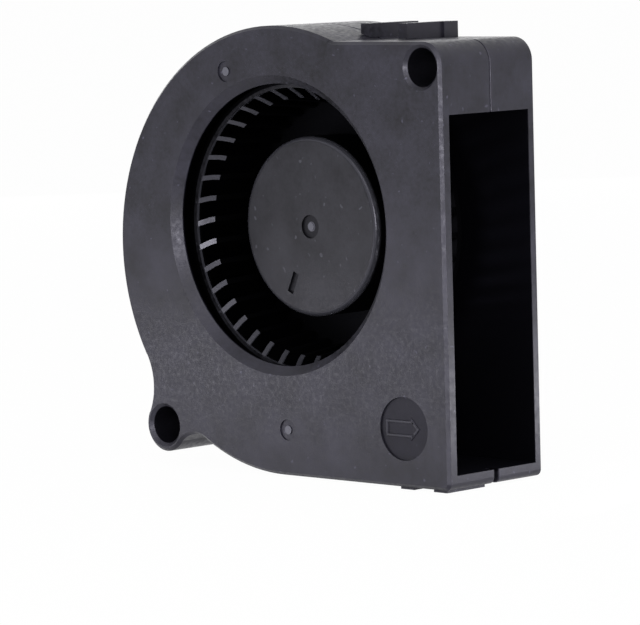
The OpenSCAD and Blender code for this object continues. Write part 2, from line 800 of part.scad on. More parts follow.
// Winding round one arm, as the solid that its turns fill
module coil(a) color([0.72, 0.4, 0.2]) stand() {
  in_w = arm_w + 2 * insulator_side_t + 2 * coil_gap;
  in_h = stack_t + 2 * insulator_t + 2 * coil_gap;
  intersection() {
    rotate([0, 0, a])
      translate([coil_r0, 0, stack_h0 + stack_t / 2])
        rotate([90, 0, 90])
          linear_extrude(coil_r1 - coil_r0)
            difference() {
              union() {
                square([in_w + 2 * coil_t, in_h], center = true);
                square([in_w, in_h + 2 * coil_t], center = true);
                for (x = [-1, 1], y = [-1, 1])
                  translate([x * in_w / 2, y * in_h / 2]) circle(r = coil_t, $fn = 32);
              }
              square([in_w, in_h], center = true);
            }
    cylinder(r = coil_r1 - coil_gap, h = depth);
  }
}

module terminal_pins() color([0.83, 0.82, 0.76]) stand()
  for (a = pin_angles)
    rotate([0, 0, a])
      translate([pin_ring_r, 0, board_h0 - pin_tail])
        cylinder(r = pin_r, h = stack_h0 - board_h0 + pin_tail - pin_short, $fn = 32);

module circuit_board() color([0.1, 0.36, 0.22]) stand() {
  difference() {
    translate([0, 0, board_h0]) cylinder(r = board_r, h = board_t);
    cylinder(r = tube_r + seat_gap, h = depth);
    for (a = pin_angles)
      rotate([0, 0, a])
        translate([pin_ring_r, 0, 0]) cylinder(r = pin_r + seat_gap, h = depth, $fn = 32);
  }
}

// A small packaged part at a radius and an angle, with its underside at height h
module packaged(r, angle, size, h) {
  rotate([0, 0, angle])
    translate([r, 0, h + size.z / 2]) cube(size, center = true);
}

module hall_sensor() color([0.12, 0.12, 0.13]) stand()
  packaged(hall_r, 0, [hall_w, hall_len, hall_t], board_h1);

module driver_chip() color([0.13, 0.13, 0.14]) stand()
  packaged(chip_r, chip_angle, [chip_w, chip_len, chip_t], board_h0 - chip_t);

module capacitor() color([0.7, 0.6, 0.45]) stand()
  packaged(capacitor_r, capacitor_angle, [capacitor_w, capacitor_len, chip_t], board_h0 - chip_t);

module diode() color([0.14, 0.14, 0.15]) stand()
  packaged(diode_r, diode_angle, [diode_w, diode_len, chip_t], board_h0 - chip_t);

module resistors() color([0.16, 0.15, 0.15]) stand()
  for (a = resistor_angles)
    packaged(resistor_r, a, [resistor_w, resistor_len, resistor_t], board_h0 - resistor_t);

module lead_pads() color([0.8, 0.8, 0.78]) stand()
  for (a = [lead_angle - pad_spread, lead_angle + pad_spread])
    packaged(board_r - pad_inset, a, [pad_w, pad_len, pad_t], board_h0 - pad_t);

housing_cover();
housing_base();
impeller();
rotor_yoke();
magnet_ring();
shaft();
shaft_boss();
oil_washer();
retaining_ring();
sleeve_bearing();
bearing_tube();
thrust_disc();
bearing_cap();
stator_core();
upper_insulator();
lower_insulator();
coil(0);  // coil_1
coil(90);  // coil_2
coil(180);  // coil_3
coil(270);  // coil_4
terminal_pins();
circuit_board();
hall_sensor();
driver_chip();
capacitor();
diode();
resistors();
lead_pads();
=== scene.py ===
"""Finishes, flow arrow and studio for a small centrifugal DC blower.

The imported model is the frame: places are in metres, in its own axes. The inlet faces the
front (-Y), the outlet faces right (+X), and the rotor turns about the Y axis.
"""

import json
import math

import bmesh
import bpy
from mathutils import Matrix, Vector


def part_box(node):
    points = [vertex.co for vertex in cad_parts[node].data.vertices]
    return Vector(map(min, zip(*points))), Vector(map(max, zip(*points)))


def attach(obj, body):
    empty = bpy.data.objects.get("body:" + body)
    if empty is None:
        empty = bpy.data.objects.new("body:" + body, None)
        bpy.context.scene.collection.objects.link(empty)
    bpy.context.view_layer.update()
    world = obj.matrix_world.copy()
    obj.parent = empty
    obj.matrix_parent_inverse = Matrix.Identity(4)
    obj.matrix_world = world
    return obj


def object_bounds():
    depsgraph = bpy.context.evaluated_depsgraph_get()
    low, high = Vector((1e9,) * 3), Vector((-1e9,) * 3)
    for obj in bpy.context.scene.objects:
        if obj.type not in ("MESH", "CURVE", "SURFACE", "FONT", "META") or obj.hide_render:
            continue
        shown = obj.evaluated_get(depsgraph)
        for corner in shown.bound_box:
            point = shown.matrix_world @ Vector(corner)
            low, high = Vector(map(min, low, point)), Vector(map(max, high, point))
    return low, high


bl_info = {
    "name": "DC Blower Dresser",
    "version": (1, 0, 0),
    "blender": (4, 5, 0),
    "location": "View3D > Sidebar > Blower",
    "description": "Finishes the packed blower, adds its flow arrow and sets the studio",
    "category": "Object",
}

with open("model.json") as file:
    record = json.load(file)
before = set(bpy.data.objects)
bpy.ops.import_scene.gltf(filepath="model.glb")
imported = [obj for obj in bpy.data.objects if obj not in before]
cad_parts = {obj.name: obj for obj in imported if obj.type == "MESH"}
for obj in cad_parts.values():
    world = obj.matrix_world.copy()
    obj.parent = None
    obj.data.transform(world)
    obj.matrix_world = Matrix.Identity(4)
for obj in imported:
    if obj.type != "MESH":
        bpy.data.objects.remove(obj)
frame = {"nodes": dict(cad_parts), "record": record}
CAD_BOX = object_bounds()
MM = 0.001
# How far a mask reaches past a surface to take it in, or stops behind one to leave it out
SKIN = 0.02 * MM

# The housing: its front face, the seam between its halves, its body, which is round about BODY_UP
# with a flat top, and half the width of the shade painted dark along the seam's groove
COVER_LOW, COVER_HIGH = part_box("housing_cover")
FRONT = COVER_LOW.y
SEAM = COVER_HIGH.y
BODY_UP = -2.4 * MM
BODY_RADIUS = COVER_HIGH.x
FLAT_TOP = 21.3 * MM
SEAM_HALF_WIDTH = 0.09 * MM

# Limits of the air space, where shade is painted black on the housing's inner faces; they lie
# inside the walls' thickness to take in those faces. At its end the duct stops short of the
# outlet's face, which keeps the housing's own finish.
AIR_FRONT = FRONT + 1.15 * MM
AIR_REAR = -1.0 * MM
SCROLL_RADIUS = 24.4 * MM
DUCT_LOW = COVER_LOW.z + 1.6 * MM
DUCT_HIGH = COVER_LOW.z + 41.8 * MM
DUCT_END = COVER_HIGH.x - 0.1 * MM

# Mounting holes, where shade is painted dark on the walls: across and up from the rotor's axis, a
# radius that takes in their walls, and the depth at each end that keeps the housing's own finish
MOUNT_HOLES = ((22.6 * MM, 18.5 * MM), (-19.0 * MM, -23.4 * MM))
HOLE_REACH = 2.17 * MM
HOLE_MOUTH = 0.3 * MM

# The impeller: its hub's radius and face, the width and depth of the hub's rounded edge, the radii
# between which the hub's slot and gate lie, and the depth behind which its wall is painted black
# with shade
HUB_RADIUS = 10.3 * MM
HUB_FACE = -10.1 * MM
HUB_EDGE_WIDTH = 0.8 * MM
HUB_EDGE_DEPTH = 0.6 * MM
HUB_MARKS_INNER = 0.6 * MM
HUB_MARKS_OUTER = 9.0 * MM
HUB_SHADE = HUB_FACE + 0.8 * MM
# Limits of the blades' sloping front ends, a little wider than the slopes, where a highlight is
# painted, and the cone that lies behind them, by its slope and its depth on the axis, behind which
# shade is painted black
SLOPES_FRONT = -12.4 * MM
SLOPES_REAR = -10.65 * MM
SLOPES_INNER = 14.5 * MM
SLOPES_OUTER = 16.3 * MM
CONE_SLOPE = 16 / 13
CONE_ON_AXIS = 7.65 * MM

# Moulding gates, across and up from the rotor's axis, the radii that take in the stub in each,
# and the stubs' colour
COVER_GATES = ((-7.4 * MM, 17.9 * MM), (1.0 * MM, -22.7 * MM))
COVER_STUB_REACH = 0.5 * MM
HUB_GATES = ((0.0, 0.0),)
HUB_STUB_REACH = 0.55 * MM
STUB_COLOUR = (0.09, 0.09, 0.11)


# ---------------------------------------------------------------- settings


class BlowerFinish(bpy.types.PropertyGroup):
    """Colours and textures of the blower's surfaces."""

    shell: bpy.props.FloatVectorProperty(
        name="Shell",
        description="Colour of the moulded housing",
        subtype="COLOR",
        default=(0.0112, 0.0108, 0.016),
        min=0.0,
        max=1.0,
    )
    shell_roughness: bpy.props.FloatProperty(
        name="Shell Roughness",
        description="Roughness of the housing's spark-textured skin",
        subtype="FACTOR",
        default=0.42,
        min=0.0,
        max=1.0,
    )
    rotor: bpy.props.FloatVectorProperty(
        name="Impeller",
        description="Colour of the moulded impeller",
        subtype="COLOR",
        default=(0.0105, 0.0105, 0.013),
        min=0.0,
        max=1.0,
    )
    rotor_roughness: bpy.props.FloatProperty(
        name="Impeller Roughness",
        description="Roughness of the impeller's smoother skin",
        subtype="FACTOR",
        default=0.42,
        min=0.0,
        max=1.0,
    )
    sheen: bpy.props.FloatVectorProperty(
        name="Sheen",
        description="Tint of the black plastic's reflections",
        subtype="COLOR",
        default=(0.88, 0.86, 1.0),
        min=0.0,
        max=1.0,
    )
    grain_size: bpy.props.FloatProperty(
        name="Grain Size",
        description="Size of the grain that the mould leaves on the plastic",
        subtype="DISTANCE",
        default=0.16 * MM,
        min=0.02 * MM,
        max=2 * MM,
    )


class BlowerArrow(bpy.types.PropertyGroup):
    """Raised outline arrow that shows the way the air leaves."""

    inset: bpy.props.FloatProperty(
        name="Inset",
        description="Distance of the arrow's disc from the outlet face",
        subtype="DISTANCE",
        default=6.6 * MM,
    )
    rise: bpy.props.FloatProperty(
        name="Rise",
        description="Distance of the arrow's disc from the foot pads",
        subtype="DISTANCE",
        default=6.78 * MM,
    )
    floor: bpy.props.FloatProperty(
        name="Disc Depth",
        description="Depth of the disc's floor behind the front face",
        subtype="DISTANCE",
        default=0.22 * MM,
    )
    length: bpy.props.FloatProperty(
        name="Length",
        description="Length of the arrow from tail to tip",
        subtype="DISTANCE",
        default=5.0 * MM,
    )
    head_length: bpy.props.FloatProperty(
        name="Head Length",
        description="Length of the arrow's head",
        subtype="DISTANCE",
        default=1.3 * MM,
    )
    head_height: bpy.props.FloatProperty(
        name="Head Height",
        description="Height of the arrow's head",
        subtype="DISTANCE",
        default=2.6 * MM,
    )
    shaft_height: bpy.props.FloatProperty(
        name="Shaft Height",
        description="Height of the arrow's shaft",
        subtype="DISTANCE",
        default=1.9 * MM,
    )
    line: bpy.props.FloatProperty(
        name="Line Width",
        description="Width of the raised outline",
        subtype="DISTANCE",
        default=0.34 * MM,
    )
    relief: bpy.props.FloatProperty(
        name="Relief",
        description="Height of the raised outline",
        subtype="DISTANCE",
        default=0.14 * MM,
    )
    setback: bpy.props.FloatProperty(
        name="Set Back",
        description="Distance of the arrow's middle behind the disc's middle",
        subtype="DISTANCE",
        default=0.3 * MM,
    )
    edge: bpy.props.FloatProperty(
        name="Edge Round",
        description="Rounding of the raised outline's top edges",
        subtype="DISTANCE",
        default=0.1 * MM,
    )
    disc_radius: bpy.props.FloatProperty(
        name="Disc Radius",
        description="Radius of the arrow's disc",
        subtype="DISTANCE",
        default=3.55 * MM,
    )


class BlowerStage(bpy.types.PropertyGroup):
    """Camera, lamps, floor and surround."""

    azimuth: bpy.props.FloatProperty(
        name="Azimuth",
        description="Turn of the camera from the front towards the outlet",
        subtype="ANGLE",
        default=math.radians(43.748),
    )
    elevation: bpy.props.FloatProperty(
        name="Elevation",
        description="Angle of the camera above the level",
        subtype="ANGLE",
        default=math.radians(5.392),
    )
    roll: bpy.props.FloatProperty(
        name="Roll",
        description="Roll of the camera about its line of sight",
        subtype="ANGLE",
        default=math.radians(-1.527),
    )
    distance: bpy.props.FloatProperty(
        name="Distance",
        description="Distance of the camera from the middle of the blower",
        subtype="DISTANCE",
        default=474.633 * MM,
    )
    aim_right: bpy.props.FloatProperty(
        name="Aim Right",
        description="How far the camera aims to the right of the middle",
        subtype="DISTANCE",
        default=-0.488 * MM,
    )
    aim_up: bpy.props.FloatProperty(
        name="Aim Up",
        description="How far the camera aims above the middle",
        subtype="DISTANCE",
        default=-7.448 * MM,
    )
    lens: bpy.props.FloatProperty(
        name="Focal Length",
        description="Focal length of the camera in millimetres",
        default=233.161,
        min=20.0,
    )
    surround: bpy.props.FloatProperty(
        name="Surround",
        description="Strength of the soft light from all round",
        default=0.4,
        min=0.0,
    )


# ---------------------------------------------------------------- node groups


def new_group(name, inputs, outputs):
    """Empty shader node group with named sockets, given as (name, type, default)."""
    group = bpy.data.node_groups.new(name, "ShaderNodeTree")
    for label, kind, value in inputs:
        socket = group.interface.new_socket(label, in_out="INPUT", socket_type=kind)
        socket.default_value = value
    for label, kind in outputs:
        group.interface.new_socket(label, in_out="OUTPUT", socket_type=kind)
    return group, group.nodes.new("NodeGroupInput"), group.nodes.new("NodeGroupOutput")


def give(tree, socket, value):
    """Links a socket to an output, or sets it to a number or a colour."""
    if isinstance(value, bpy.types.NodeSocket):
        tree.links.new(value, socket)
    elif socket.type == "RGBA":
        socket.default_value = (*value, 1.0)
    else:
        socket.default_value = value


def math_node(tree, operation, *values):
    """Result of a math node whose inputs are links or numbers."""
    node = tree.nodes.new("ShaderNodeMath")
    node.operation = operation
    for socket, value in zip(node.inputs, values):
        give(tree, socket, value)
    return node.outputs[0]


def noise_node(tree, coordinate, scale, detail, roughness=0.5):
    """Noise texture on a coordinate; its scale is a link or a number."""
    node = tree.nodes.new("ShaderNodeTexNoise")
    node.inputs["Detail"].default_value = detail
    node.inputs["Roughness"].default_value = roughness
    tree.links.new(coordinate, node.inputs["Vector"])
    give(tree, node.inputs["Scale"], scale)
    return node.outputs["Fac"]


def mapped(tree, value, span, target=(0.0, 1.0)):
    """Value mapped from a span of numbers to a target span and held inside it."""
    node = tree.nodes.new("ShaderNodeMapRange")
    tree.links.new(value, node.inputs["Value"])
    for label, limit in zip(("From Min", "From Max", "To Min", "To Max"), (*span, *target)):
        give(tree, node.inputs[label], limit)
    return node.outputs["Result"]


def mixed_colour(tree, factor, a, b):
    """Mix of two colours, each a link or a colour, by a factor link."""
    node = tree.nodes.new("ShaderNodeMix")
    node.data_type = "RGBA"
    tree.links.new(factor, node.inputs["Factor"])
    for label, value in (("A", a), ("B", b)):
        give(tree, next(s for s in node.inputs if s.name == label and s.type == "RGBA"), value)
    return next(s for s in node.outputs if s.type == "RGBA")


def mixed_value(tree, factor, a, b):
    """Mix of two values, each a link or a number, by a factor link."""
    node = tree.nodes.new("ShaderNodeMix")
    for label, value in (("Factor", factor), ("A", a), ("B", b)):
        give(tree, node.inputs[label], value)
    return node.outputs["Result"]


def object_point(tree):
    """Place on the piece, in metres."""
    return tree.nodes.new("ShaderNodeTexCoord").outputs["Object"]


def split_point(tree):
    """The same place as three links: x, y and z."""
    split = tree.nodes.new("ShaderNodeSeparateXYZ")
    tree.links.new(object_point(tree), split.inputs[0])
    return split.outputs["X"], split.outputs["Y"], split.outputs["Z"]


def axis_distance(tree, across, up):
    """Distance from an axis that runs from front to rear."""
    squares = (math_node(tree, "POWER", across, 2.0), math_node(tree, "POWER", up, 2.0))
    return math_node(tree, "SQRT", math_node(tree, "ADD", *squares))


def between(tree, value, low, high):
    """1 where a value lies between two limits, and 0 elsewhere."""
    above = math_node(tree, "GREATER_THAN", value, low)
    return math_node(tree, "MULTIPLY", above, math_node(tree, "LESS_THAN", value, high))


def grain_group():
    """Fine grain that a spark-eroded mould leaves: a height for a bump."""
    group, source, sink = new_group(
        "Mould Grain",
        [("Grains per Metre", "NodeSocketFloat", 6000.0)],
        [("Height", "NodeSocketFloat")],
    )
    point = object_point(group)
    grains = source.outputs["Grains per Metre"]
    coarse_scale = math_node(group, "MULTIPLY", grains, 0.31)
    fine = noise_node(group, point, grains, detail=2.0, roughness=0.6)
    coarse = noise_node(group, point, coarse_scale, detail=1.0)
    height = math_node(group, "ADD", fine, math_node(group, "MULTIPLY", coarse, 0.6))
    group.links.new(height, sink.inputs["Height"])
    return group


def mottle_group():
    """Cloudy variation of a moulded colour and of its roughness, with sparse pale specks."""
    group, source, sink = new_group(
        "Mould Mottle",
        [
            ("Color", "NodeSocketColor", (0.02, 0.02, 0.02, 1.0)),
            ("Pale Color", "NodeSocketColor", (0.04, 0.04, 0.04, 1.0)),
            ("Fleck Color", "NodeSocketColor", (0.08, 0.08, 0.08, 1.0)),
            ("Patches per Metre", "NodeSocketFloat", 220.0),
            ("Low Roughness", "NodeSocketFloat", 0.4),
            ("High Roughness", "NodeSocketFloat", 0.5),
        ],
        [("Color", "NodeSocketColor"), ("Roughness", "NodeSocketFloat")],
    )
    given = source.outputs
    point = object_point(group)
    patches = given["Patches per Metre"]
    speckle_scale = math_node(group, "MULTIPLY", patches, 9.0)
    fleck_scale = math_node(group, "MULTIPLY", patches, 7.0)
    cloud = noise_node(group, point, patches, detail=4.0, roughness=0.6)
    speckle = noise_node(group, point, speckle_scale, detail=2.0)
    fleck = mapped(group, noise_node(group, point, fleck_scale, detail=0.0), (0.79, 0.86))
    shade = math_node(
        group,
        "ADD",
        mapped(group, cloud, (0.3, 0.7), (0.0, 0.7)),
        mapped(group, speckle, (0.35, 0.75), (0.0, 0.3)),
    )
    colour = mixed_colour(group, shade, given["Color"], given["Pale Color"])
    colour = mixed_colour(group, fleck, colour, given["Fleck Color"])
    rough = mapped(group, speckle, (0.3, 0.7), (given["Low Roughness"], given["High Roughness"]))
    group.links.new(colour, sink.inputs["Color"])
    group.links.new(rough, sink.inputs["Roughness"])
    return group


def ring_group():
    """Mask of a ring round an axis that runs from front to rear.

    With a cone slope its front and rear limits are met on the axis, and lie that much
    further forward for each metre of radius.
    """
    group, source, sink = new_group(
        "Ring Mask",
        [
            ("Across", "NodeSocketFloat", 0.0),
            ("Up", "NodeSocketFloat", 0.0),
            ("Inner Radius", "NodeSocketFloat", -1.0),
            ("Outer Radius", "NodeSocketFloat", 1.0),
            ("Front", "NodeSocketFloat", -1.0),
            ("Rear", "NodeSocketFloat", 1.0),
            ("Cone Slope", "NodeSocketFloat", 0.0),
        ],
        [("Mask", "NodeSocketFloat")],
    )
    limit = source.outputs
    x, y, z = split_point(group)
    across = math_node(group, "SUBTRACT", x, limit["Across"])
    up = math_node(group, "SUBTRACT", z, limit["Up"])
    radius = axis_distance(group, across, up)
    in_ring = between(group, radius, limit["Inner Radius"], limit["Outer Radius"])
    lean = math_node(group, "MULTIPLY", radius, limit["Cone Slope"])
    depth = math_node(group, "ADD", y, lean)
    in_depth = between(group, depth, limit["Front"], limit["Rear"])
    mask = math_node(group, "MULTIPLY", in_ring, in_depth)
    group.links.new(mask, sink.inputs["Mask"])
    return group


def block_group():
    """Mask of a rectangular block."""
    group, source, sink = new_group(
        "Block Mask",
        [
            ("Left", "NodeSocketFloat", -1.0),
            ("Right", "NodeSocketFloat", 1.0),
            ("Low", "NodeSocketFloat", -1.0),
            ("High", "NodeSocketFloat", 1.0),
            ("Front", "NodeSocketFloat", -1.0),
            ("Rear", "NodeSocketFloat", 1.0),
        ],
        [("Mask", "NodeSocketFloat")],
    )
    limit = source.outputs
    x, y, z = split_point(group)
    mask = between(group, x, limit["Left"], limit["Right"])
    mask = math_node(group, "MULTIPLY", mask, between(group, y, limit["Front"], limit["Rear"]))
    mask = math_node(group, "MULTIPLY", mask, between(group, z, limit["Low"], limit["High"]))
    group.links.new(mask, sink.inputs["Mask"])
    return group


def lathe_group():
    """Fine turning marks round the rotor axis: a height, and a mask for the roughness."""
    group, source, sink = new_group(
        "Turning Marks",
        [("Rings per Metre", "NodeSocketFloat", 9000.0)],
        [("Height", "NodeSocketFloat"), ("Mask", "NodeSocketFloat")],
    )
    x, y, z = split_point(group)
    join = group.nodes.new("ShaderNodeCombineXYZ")
    group.links.new(axis_distance(group, x, z), join.inputs["X"])
    group.links.new(y, join.inputs["Y"])
    rings = source.outputs["Rings per Metre"]
    marks = noise_node(group, join.outputs[0], rings, detail=3.0, roughness=0.7)
    group.links.new(marks, sink.inputs["Height"])
    group.links.new(mapped(group, marks, (0.3, 0.7)), sink.inputs["Mask"])
    return group


# ---------------------------------------------------------------- materials


def finish_name(slot):
    """Name of the finish that a material slot gets."""
    return slot + " finish"


class Finish:
    """One slot's material with its shader and the helpers that feed it."""

    def __init__(self, slot):
        self.material = bpy.data.materials.new(finish_name(slot))
        self.material.use_nodes = True
        self.tree = self.material.node_tree
        self.shader = self.tree.nodes["Principled BSDF"]

    def set_sockets(self, node, values):
        """Sets a node's named inputs; an underscore in a name stands for a space."""
        for label, value in values.items():
            give(self.tree, node.inputs[label.replace("_", " ")], value)

    def fixed(self, **values):
        """Sets the shader's own sockets."""
        self.set_sockets(self.shader, values)
        return self

    def group(self, tree, **values):
        """Places a shared group and sets its inputs."""
        node = self.tree.nodes.new("ShaderNodeGroup")
        node.node_tree = tree
        self.set_sockets(node, values)
        return node

    def mask(self, tree, **limits):
        """Places a shared group that masks a part of space, and gives its mask."""
        return self.group(tree, **limits).outputs["Mask"]

    def feed(self, output, label):
        """Links an output to one of the shader's sockets."""
        self.tree.links.new(output, self.shader.inputs[label])
        return self

    def bump(self, height, strength, distance):
        """Feeds a height to the shader's normal through a bump."""
        node = self.tree.nodes.new("ShaderNodeBump")
        node.inputs["Strength"].default_value = strength
        node.inputs["Distance"].default_value = distance
        self.tree.links.new(height, node.inputs["Height"])
        return self.feed(node.outputs["Normal"], "Normal")

    def fed(self, label):
        """Output that feeds one of the shader's sockets so far."""
        return self.shader.inputs[label].links[0].from_socket

    def recolour(self, mask, colour):
        """Gives the finish another colour where a mask is high."""
        self.feed(mixed_colour(self.tree, mask, self.fed("Base Color"), colour), "Base Color")

    def roughen(self, mask, roughness):
        """Gives the finish another roughness where a mask is high."""
        self.feed(mixed_value(self.tree, mask, self.fed("Roughness"), roughness), "Roughness")

    def paint_shade_and_darken(self, mask, colour, roughness):
        """Takes the sheen and the tone out of a plastic where a mask is high, which paints shade
        into hollows and darkens the arrow's disc.

        A nearly black metal reflects next to nothing, so the mask feeds Metallic too.
        """
        self.recolour(mask, colour)
        self.roughen(mask, roughness)
        self.feed(mask, "Metallic")


def scaled(colour, factor):
    """Colour scaled by a factor."""
    return tuple(channel * factor for channel in colour)


def share_of_largest(tree, masks):
    """Largest of some masks, each given with the share of it that counts."""
    largest = math_node(tree, "MULTIPLY", *masks[0])
    for mask, share in masks[1:]:
        largest = math_node(tree, "MAXIMUM", largest, math_node(tree, "MULTIPLY", mask, share))
    return largest


def moulded_plastic(name, groups, colour, roughness, grain_size, spread=0.35, flecks=1.0):
    """Matte moulded plastic with clouds of tone and a spark-eroded grain.

    As multiples of the colour, spread is how far apart the clouds' tones lie, and flecks is how
    bright the specks are.
    """
    roughness_drift = 0.1
    finish = Finish(name)
    mottle = finish.group(
        groups["mottle"],
        Color=scaled(colour, 1 - spread / 2),
        Pale_Color=scaled(colour, 1 + spread / 2),
        Fleck_Color=scaled(colour, flecks),
        Low_Roughness=roughness - roughness_drift,
        High_Roughness=roughness + roughness_drift,
    )
    finish.feed(mottle.outputs["Color"], "Base Color")
    finish.feed(mottle.outputs["Roughness"], "Roughness")
    finish.fixed(Specular_IOR_Level=0.4)
    grain = finish.group(groups["grain"], Grains_per_Metre=1 / grain_size)
    finish.bump(grain.outputs["Height"], strength=0.3, distance=0.02 * MM)
    return finish


def black_plastic(name, groups, colour, roughness, settings):
    """Black moulded plastic of the outer pieces, cloudier and with pale specks."""
    finish = moulded_plastic(
        name, groups, colour, roughness, settings.grain_size, spread=1.9, flecks=4.0
    )
    return finish.fixed(Specular_Tint=settings.sheen)


def pale_stubs(finish, ring, places, radius, front, rear):
    """Pales the torn stub that each gate leaves on a moulding."""
    limits = {"Outer_Radius": radius, "Front": front, "Rear": rear}
    stubs = [(finish.mask(ring, Across=x, Up=z, **limits), 1.0) for x, z in places]
    finish.recolour(share_of_largest(finish.tree, stubs), STUB_COLOUR)


def shell_plastic(groups, settings, arrow):
    """Housing plastic with painted shade, black in the air space and dark in the seam's groove and
    the holes; the arrow's disc is darker.
    """
    colour = tuple(settings.shell)
    finish = black_plastic("housing_plastic", groups, colour, settings.shell_roughness, settings)
    ring = groups["ring"]
    block = groups["block"]
    pale_stubs(finish, ring, COVER_GATES, COVER_STUB_REACH, FRONT, FRONT + 0.1 * MM)
    air = {"Front": AIR_FRONT, "Rear": AIR_REAR}
    scroll_shade = finish.mask(ring, Up=BODY_UP, Outer_Radius=SCROLL_RADIUS, **air)
    duct_shade = finish.mask(block, Left=0.0, Right=DUCT_END, Low=DUCT_LOW, High=DUCT_HIGH, **air)
    centre = disc_centre(arrow)
    disc = finish.mask(
        ring,
        Across=centre.x,
        Up=centre.z,
        Outer_Radius=arrow.disc_radius + SKIN,
        Front=centre.y - SKIN,
        Rear=centre.y + 0.1 * MM,
    )
    groove = {"Front": SEAM - SEAM_HALF_WIDTH, "Rear": SEAM + SEAM_HALF_WIDTH}
    round_seam_shade = finish.mask(ring, Up=BODY_UP, Outer_Radius=BODY_RADIUS + SKIN, **groove)
    flat_seam_shade = finish.mask(block, High=FLAT_TOP + SKIN, **groove)
    # Painted shade: black in the scroll and the duct, dark in the seam's groove; the arrow's disc
    # gets a darker tone
    masks = [(scroll_shade, 1.0), (duct_shade, 1.0), (disc, 0.45), (round_seam_shade, 0.7), (flat_seam_shade, 0.7)]
    # Painted shade on the mounting holes' walls
    hole_shade = {"Outer_Radius": HOLE_REACH, "Front": FRONT + HOLE_MOUTH, "Rear": -HOLE_MOUTH}
    masks += [(finish.mask(ring, Across=x, Up=z, **hole_shade), 0.8) for x, z in MOUNT_HOLES]
    finish.paint_shade_and_darken(share_of_largest(finish.tree, masks), scaled(colour, 0.5), roughness=0.6)


def rotor_plastic(groups, settings):
    """Impeller plastic: painted shade, black between the blades and dark in the hub's marks;
    polish with a painted highlight on the blades' ends and the hub's edge.
    """
    colour = tuple(settings.rotor)
    finish = black_plastic("impeller_plastic", groups, colour, settings.rotor_roughness, settings)
    finish.fixed(Specular_IOR_Level=0.33)
    ring = groups["ring"]
    pale_stubs(finish, ring, HUB_GATES, HUB_STUB_REACH, HUB_FACE - 0.1 * MM, HUB_FACE + 0.3 * MM)
    slopes = finish.mask(
        ring,
        Inner_Radius=SLOPES_INNER,
        Outer_Radius=SLOPES_OUTER,
        Front=SLOPES_FRONT,
        Rear=SLOPES_REAR,
    )
    hub_edge = finish.mask(
        ring,
        Inner_Radius=HUB_RADIUS - HUB_EDGE_WIDTH,
        Outer_Radius=HUB_RADIUS + 0.1 * MM,
        Front=HUB_FACE + SKIN,
        Rear=HUB_FACE + HUB_EDGE_DEPTH,
    )
    # Painted highlight: the blades' sloping ends and the hub's edge get three times the colour,
    # with a lower roughness for their polish
    polish_and_painted_highlight = share_of_largest(finish.tree, [(slopes, 1.0), (hub_edge, 1.0)])
    finish.recolour(polish_and_painted_highlight, scaled(colour, 3.0))
    finish.roughen(polish_and_painted_highlight, 0.24)
    # Painted shade: black behind the hub's face, between the blades and under their slopes, and
    # half dark in the hub's slot and gate
    shade_below_hub = finish.mask(ring, Front=HUB_SHADE)
    shade_between_blades = finish.mask(ring, Inner_Radius=HUB_RADIUS + 0.15 * MM, Front=SLOPES_REAR)
    shade_below_slopes = finish.mask(
        ring, Inner_Radius=SLOPES_INNER, Front=CONE_ON_AXIS, Cone_Slope=CONE_SLOPE
    )
    shade_in_hub_marks = finish.mask(
        ring,
        Inner_Radius=HUB_MARKS_INNER,
        Outer_Radius=HUB_MARKS_OUTER,
        Front=HUB_FACE + 0.06 * MM,
        Rear=HUB_SHADE,
    )
    masks = [(shade_below_hub, 1.0), (shade_between_blades, 1.0), (shade_below_slopes, 1.0), (shade_in_hub_marks, 0.5)]
    finish.paint_shade_and_darken(share_of_largest(finish.tree, masks), scaled(colour, 0.5), roughness=0.5)


def turned_metal(name, groups, colour, roughness):
    """Metal with fine turning marks round the rotor axis."""
    tone_drift = 0.12
    roughness_drift = 0.08
    finish = Finish(name).fixed(Metallic=1.0)
    tree = finish.tree
    marks = finish.group(groups["lathe"])
    mask = marks.outputs["Mask"]
    dark = scaled(colour, 1 - tone_drift)
    pale = scaled(colour, 1 + tone_drift)
    rough = (roughness - roughness_drift, roughness + roughness_drift)
    finish.feed(mixed_colour(tree, mask, dark, pale), "Base Color")
    finish.feed(mapped(tree, mask, (0.0, 1.0), rough), "Roughness")
    finish.bump(marks.outputs["Height"], strength=0.15, distance=0.004 * MM)


def enamelled_wire(name, colour):
    """Copper wire under amber enamel, with a slight drift of colour from place to place."""
    finish = Finish(name).fixed(Metallic=0.85, Coat_Weight=0.6, Coat_Roughness=0.12)
    tree = finish.tree
    drift = noise_node(tree, object_point(tree), scale=2600.0, detail=2.0)
    finish.feed(mixed_colour(tree, drift, scaled(colour, 0.7), scaled(colour, 1.25)), "Base Color")
    finish.feed(mapped(tree, drift, (0.3, 0.7), (0.22, 0.36)), "Roughness")


def stacked_steel(name, colour):
    """Edges of stacked laminations: thin lines across the rotor axis, half a millimetre apart."""
    finish = Finish(name).fixed(Metallic=1.0)
    tree = finish.tree
    wave = tree.nodes.new("ShaderNodeTexWave")
    wave.bands_direction = "Y"
    wave.inputs["Scale"].default_value = 640.0
    wave.inputs["Distortion"].default_value = 0.4
    tree.links.new(object_point(tree), wave.inputs["Vector"])
    lines = wave.outputs["Fac"]
    finish.feed(mixed_colour(tree, lines, scaled(colour, 0.55), scaled(colour, 1.2)), "Base Color")
    finish.feed(mapped(tree, lines, (0.0, 1.0), (0.55, 0.38)), "Roughness")
    finish.bump(lines, strength=0.4, distance=0.02 * MM)


